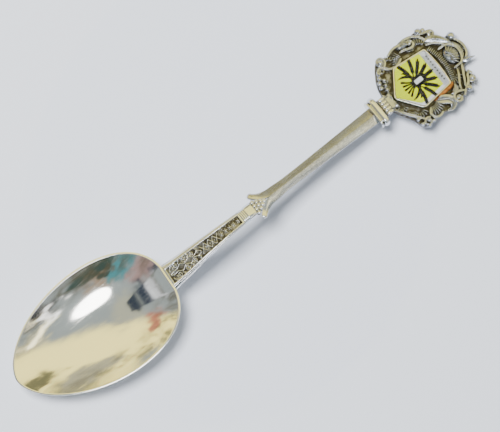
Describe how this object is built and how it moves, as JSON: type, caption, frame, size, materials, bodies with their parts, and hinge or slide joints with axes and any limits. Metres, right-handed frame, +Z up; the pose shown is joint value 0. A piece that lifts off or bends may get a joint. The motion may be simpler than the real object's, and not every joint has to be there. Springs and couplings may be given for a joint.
{
  "type": "souvenir spoon",
  "caption": "Small display spoon with an egg-shaped bowl, relief neck, ridged stem and a cast scroll cartouche holding an enamelled shield under a clear dome.",
  "frame": {"origin": "middle of the spoon's outline, at the height of the table it lies on", "axes": "+X from the bowl's tip to the far end of the cartouche, +Z up out of the bowl's hollow, +Y to the left of +X"},
  "size_m": [0.115, 0.024, 0.0106],
  "materials": {
    "polished_silver": "mirror-polished silver plate",
    "stem_silver": "satin to bright silver plate, lightly tarnished",
    "relief_silver": "stamped silver plate with dark patina in the ground",
    "cast_silver": "cast silver plate with dark patina in the recesses",
    "tray_metal": "stamped, thinly plated",
    "tang_brass": "drawn rod",
    "amber_glue": "aged amber adhesive",
    "yellow_enamel": "gloss enamel",
    "white_enamel": "gloss enamel",
    "black_enamel": "gloss enamel",
    "clear_resin": "clear domed resin"
  },
  "bodies": {
    "root": {"bowl": "polished_silver", "neck": "relief_silver", "cup": "stem_silver", "bead_cluster": "relief_silver", "stem": "stem_silver", "collar": "cast_silver", "capital": "cast_silver", "tang": "tang_brass", "cartouche": "cast_silver", "glue_bed": "amber_glue", "shield_tray": "tray_metal", "enamel_field": "yellow_enamel", "enamel_chief": "white_enamel", "enamel_sheaf": "black_enamel", "enamel_band": "white_enamel", "resin_dome": "clear_resin"}
  },
  "joints": []
}
